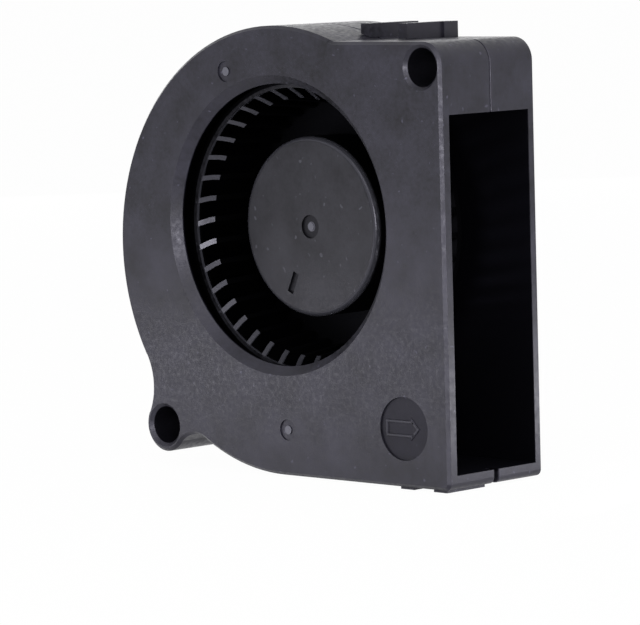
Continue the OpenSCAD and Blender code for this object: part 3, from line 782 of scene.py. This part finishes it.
def solder_mask(name, colour):
    """Green solder mask with the faint weave of the glass cloth under it."""
    finish = Finish(name).fixed(Coat_Weight=0.5, Coat_Roughness=0.2)
    tree = finish.tree
    point = object_point(tree)
    checker = tree.nodes.new("ShaderNodeTexChecker")
    checker.inputs["Scale"].default_value = 2400.0
    tree.links.new(point, checker.inputs["Vector"])
    weave = checker.outputs["Fac"]
    cloud = noise_node(tree, point, scale=500.0, detail=3.0)
    tone = math_node(tree, "ADD", math_node(tree, "MULTIPLY", weave, 0.15), cloud)
    finish.feed(mixed_colour(tree, tone, scaled(colour, 0.8), scaled(colour, 1.2)), "Base Color")
    finish.feed(mapped(tree, cloud, (0.3, 0.7), (0.3, 0.42)), "Roughness")
    finish.bump(weave, strength=0.1, distance=0.01 * MM)


def make_finishes(settings, arrow):
    """Every finish of the blower, named after the record's material slots."""
    groups = {
        "grain": grain_group(),
        "mottle": mottle_group(),
        "ring": ring_group(),
        "block": block_group(),
        "lathe": lathe_group(),
    }
    shell_plastic(groups, settings, arrow)
    rotor_plastic(groups, settings)
    grain = settings.grain_size
    # Each plastic's colour, roughness and grain size
    plastics = {
        "white_plastic": ((0.72, 0.7, 0.64), 0.38, grain * 2),
        "cap_plastic": ((0.03, 0.03, 0.033), 0.45, grain),
        "chip_black": ((0.022, 0.022, 0.024), 0.5, grain / 2),
        "capacitor_tan": ((0.42, 0.31, 0.18), 0.45, grain / 2),
        "magnet": ((0.035, 0.033, 0.033), 0.6, grain),
    }
    # Each metal's colour and roughness
    metals = {
        "yoke_steel": ((0.56, 0.57, 0.58), 0.34),
        "shaft_steel": ((0.66, 0.67, 0.68), 0.2),
        "brass": ((0.72, 0.56, 0.26), 0.3),
        "bearing_bronze": ((0.5, 0.31, 0.15), 0.45),
        "tinned": ((0.68, 0.68, 0.66), 0.32),
    }
    for name, (colour, roughness, size) in plastics.items():
        moulded_plastic(name, groups, colour, roughness, size)
    for name, (colour, roughness) in metals.items():
        turned_metal(name, groups, colour, roughness)
    enamelled_wire("winding", (0.5, 0.2, 0.07))
    stacked_steel("lamination", (0.3, 0.31, 0.33))
    solder_mask("board_green", (0.03, 0.16, 0.07))


def coat_nodes(names):
    """Gives each named CAD node the finish of its slot."""
    slots = {part["node"]: part["material_slot"] for part in frame["record"]["subparts"]}
    for name in names:
        finish = bpy.data.materials[finish_name(slots[name])]
        frame["nodes"][name].material_slots[0].material = finish


# ---------------------------------------------------------------- pieces


def add_piece(name, mesh, slot, body):
    """Turns a finished bmesh into a piece that rides on a body."""
    same_place = 0.0005 * MM
    bmesh.ops.remove_doubles(mesh, verts=mesh.verts, dist=same_place)
    bmesh.ops.recalc_face_normals(mesh, faces=mesh.faces)
    data = bpy.data.meshes.new(name)
    mesh.to_mesh(data)
    mesh.free()
    data.materials.append(bpy.data.materials[finish_name(slot)])
    piece = bpy.data.objects.new(name, data)
    bpy.context.scene.collection.objects.link(piece)
    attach(piece, body)


def disc_centre(arrow):
    """Middle of the floor of the arrow's disc."""
    return Vector((COVER_HIGH.x - arrow.inset, FRONT + arrow.floor, COVER_LOW.z + arrow.rise))


def arrow_corners(arrow):
    """Corners of a block arrow round its own middle, anticlockwise from the tail's foot."""
    tail = -arrow.length / 2
    tip = arrow.length / 2
    neck = tip - arrow.head_length
    shaft = arrow.shaft_height / 2
    head = arrow.head_height / 2
    lower = [(tail, -shaft), (neck, -shaft), (neck, -head), (tip, 0.0)]
    upper = [(x, -z) for x, z in reversed(lower[:3])]
    return lower + upper


class BLOWER_OT_finishes(bpy.types.Operator):
    """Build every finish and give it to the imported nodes"""

    bl_idname = "blower.finishes"
    bl_label = "Build Finishes"

    def execute(self, context):
        make_finishes(context.scene.blower_finish, context.scene.blower_arrow)
        coat_nodes(frame["nodes"])
        return {"FINISHED"}


class BLOWER_OT_flow_arrow(bpy.types.Operator):
    """Add the raised outline arrow in its disc on the front face"""

    bl_idname = "blower.flow_arrow"
    bl_label = "Add Flow Arrow"

    def execute(self, context):
        arrow = context.scene.blower_arrow
        sharp_angle = math.radians(45)
        mesh = bmesh.new()
        corners = [mesh.verts.new((x, 0.0, z)) for x, z in arrow_corners(arrow)]
        plate = mesh.faces.new(corners)
        plate.normal_update()
        bmesh.ops.inset_region(
            mesh, faces=[plate], thickness=arrow.line, use_even_offset=True, use_boundary=True
        )
        bmesh.ops.delete(mesh, geom=[plate], context="FACES_ONLY")
        bottom = mesh.faces[:]
        raised = bmesh.ops.extrude_face_region(mesh, geom=bottom, use_keep_orig=True)["geom"]
        top = [part for part in raised if isinstance(part, bmesh.types.BMVert)]
        bmesh.ops.translate(mesh, verts=top, vec=(0.0, -arrow.relief, 0.0))
        bmesh.ops.recalc_face_normals(mesh, faces=mesh.faces)
        edges = [edge for edge in mesh.edges if all(vert in top for vert in edge.verts)]
        rims = [edge for edge in edges if edge.calc_face_angle(0.0) > sharp_angle]
        bmesh.ops.bevel(
            mesh,
            geom=rims,
            affect="EDGES",
            offset=arrow.edge,
            segments=2,
            profile=0.5,
            material=-1,
        )
        place = disc_centre(arrow)
        place.x -= arrow.setback
        bmesh.ops.translate(mesh, verts=mesh.verts, vec=place)
        add_piece("flow_arrow", mesh, "housing_plastic", "housing")
        return {"FINISHED"}


# ---------------------------------------------------------------- stage


# The floor's radius in metres, and how far it fades into the white of the surround
FLOOR_RADIUS = 6.0
FLOOR_WHITE = 0.98

# Each lamp's name, azimuth and elevation in degrees, distance, width and height in metres, and
# the level of light that it adds at the middle of the blower
LAMPS = (
    ("front_lamp", 48.0, 0.0, 0.5, (0.16, 0.28), 1.0),
    ("key_lamp", 28.0, 42.0, 0.5, (0.3, 0.3), 0.25),
    ("back_lamp", -132.0, 8.0, 0.5, (0.4, 0.2), 0.12),
    ("top_lamp", 80.0, 60.0, 0.5, (0.3, 0.3), 0.2),
    ("low_left_lamp", -30.0, -16.0, 0.09, (0.1, 0.012), 0.35),
    ("low_right_lamp", 134.0, -18.0, 0.07, (0.09, 0.012), 0.3),
    ("low_outlet_lamp", 108.0, -24.0, 0.05, (0.05, 0.01), 0.15),
)


def camera_axes(azimuth, elevation, roll):
    """Right, up and back axes of a camera that looks at the front from an azimuth."""
    back = Vector(
        (
            math.sin(azimuth) * math.cos(elevation),
            -math.cos(azimuth) * math.cos(elevation),
            math.sin(elevation),
        )
    )
    level = Vector((math.cos(azimuth), math.sin(azimuth), 0.0))
    lift = back.cross(level)
    right = math.cos(roll) * level + math.sin(roll) * lift
    up = math.cos(roll) * lift - math.sin(roll) * level
    return right, up, back


def place_camera(stage, centre):
    """Camera at the viewing angle of the front and the outlet."""
    right, up, back = camera_axes(stage.azimuth, stage.elevation, stage.roll)
    data = bpy.data.cameras.new("camera")
    data.lens = stage.lens
    data.sensor_width = 36.0
    data.clip_start = 0.01
    data.clip_end = 20.0
    camera = bpy.data.objects.new("camera", data)
    spot = centre + right * stage.aim_right + up * stage.aim_up + back * stage.distance
    turn = Matrix((right, up, back)).transposed().to_4x4()
    camera.matrix_world = Matrix.Translation(spot) @ turn
    bpy.context.scene.collection.objects.link(camera)
    bpy.context.scene.camera = camera


def place_lamp(name, centre, azimuth, elevation, distance, size, level):
    """Softbox that faces the middle of the blower, which it lights at the given level."""
    away = camera_axes(math.radians(azimuth), math.radians(elevation), 0.0)[2]
    width, height = size
    data = bpy.data.lights.new(name, "AREA")
    data.shape = "RECTANGLE"
    data.size = width
    data.size_y = height
    data.energy = level * (math.pi * distance) ** 2
    lamp = bpy.data.objects.new(name, data)
    lamp.location = centre + away * distance
    lamp.rotation_euler = away.to_track_quat("Z", "Y").to_euler()
    lamp.visible_camera = False
    bpy.context.scene.collection.objects.link(lamp)


def white_to_eye(tree):
    """Link that is 1 for camera, glossy and transmission rays."""
    path = tree.nodes.new("ShaderNodeLightPath")
    seen = math_node(tree, "ADD", path.outputs["Is Camera Ray"], path.outputs["Is Glossy Ray"])
    seen = math_node(tree, "ADD", seen, path.outputs["Is Transmission Ray"])
    return math_node(tree, "MINIMUM", seen, 1.0)


def set_surround(strength):
    """World that looks white and lights softly."""
    world = bpy.data.worlds.new("surround")
    world.use_nodes = True
    tree = world.node_tree
    background = tree.nodes["Background"]
    background.inputs["Color"].default_value = (1.0, 1.0, 1.0, 1.0)
    level = mapped(tree, white_to_eye(tree), (0.0, 1.0), (strength, 1.0))
    tree.links.new(level, background.inputs["Strength"])
    bpy.context.scene.world = world


def add_floor(height):
    """White floor that fades into the surround and keeps a soft shadow."""
    mesh = bmesh.new()
    bmesh.ops.create_circle(mesh, cap_ends=True, segments=64, radius=FLOOR_RADIUS)
    bmesh.ops.translate(mesh, verts=mesh.verts, vec=(0.0, 0.0, height))
    data = bpy.data.meshes.new("floor")
    mesh.to_mesh(data)
    mesh.free()
    floor = bpy.data.objects.new("floor", data)
    bpy.context.scene.collection.objects.link(floor)
    material = bpy.data.materials.new("floor_white")
    material.use_nodes = True
    tree = material.node_tree
    shader = tree.nodes["Principled BSDF"]
    shader.inputs["Base Color"].default_value = (0.9, 0.9, 0.9, 1.0)
    shader.inputs["Roughness"].default_value = 0.9
    shader.inputs["Specular IOR Level"].default_value = 0.0
    glow = tree.nodes.new("ShaderNodeEmission")
    blend = tree.nodes.new("ShaderNodeMixShader")
    share = mapped(tree, white_to_eye(tree), (0.0, 1.0), (0.0, FLOOR_WHITE))
    tree.links.new(share, blend.inputs["Fac"])
    tree.links.new(shader.outputs["BSDF"], blend.inputs[1])
    tree.links.new(glow.outputs["Emission"], blend.inputs[2])
    tree.links.new(blend.outputs["Shader"], tree.nodes["Material Output"].inputs["Surface"])
    data.materials.append(material)


class BLOWER_OT_stage(bpy.types.Operator):
    """Set the camera, the lamps, the white floor and the surround"""

    bl_idname = "blower.stage"
    bl_label = "Set Stage"

    def execute(self, context):
        stage = context.scene.blower_stage
        low, high = (Vector(corner) for corner in CAD_BOX)
        centre = (low + high) / 2
        place_camera(stage, centre)
        set_surround(stage.surround)
        add_floor(low.z)
        for name, *place in LAMPS:
            place_lamp(name, centre, *place)
        context.scene.view_settings.view_transform = "Standard"
        return {"FINISHED"}


# ---------------------------------------------------------------- panel and run


class BLOWER_PT_panel(bpy.types.Panel):
    """Lists the blower's steps and settings"""

    bl_idname = "BLOWER_PT_panel"
    bl_label = "Blower"
    bl_space_type = "VIEW_3D"
    bl_region_type = "UI"
    bl_category = "Blower"

    def draw(self, context):
        for step in STEPS:
            self.layout.operator(step.bl_idname)
        for settings in (
            context.scene.blower_finish,
            context.scene.blower_arrow,
            context.scene.blower_stage,
        ):
            box = self.layout.box()
            for name in settings.__annotations__:
                box.prop(settings, name)


SETTINGS = (BlowerFinish, BlowerArrow, BlowerStage)
STEPS = (BLOWER_OT_finishes, BLOWER_OT_flow_arrow, BLOWER_OT_stage)


def register():
    for cls in (*SETTINGS, *STEPS, BLOWER_PT_panel):
        bpy.utils.register_class(cls)
    bpy.types.Scene.blower_finish = bpy.props.PointerProperty(type=BlowerFinish)
    bpy.types.Scene.blower_arrow = bpy.props.PointerProperty(type=BlowerArrow)
    bpy.types.Scene.blower_stage = bpy.props.PointerProperty(type=BlowerStage)


def unregister():
    del bpy.types.Scene.blower_finish
    del bpy.types.Scene.blower_arrow
    del bpy.types.Scene.blower_stage
    for cls in reversed((*SETTINGS, *STEPS, BLOWER_PT_panel)):
        bpy.utils.unregister_class(cls)


def main():
    """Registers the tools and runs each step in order."""
    register()
    for step in (bpy.ops.blower.finishes, bpy.ops.blower.flow_arrow, bpy.ops.blower.stage):
        step()


if __name__ == "__main__":
    main()
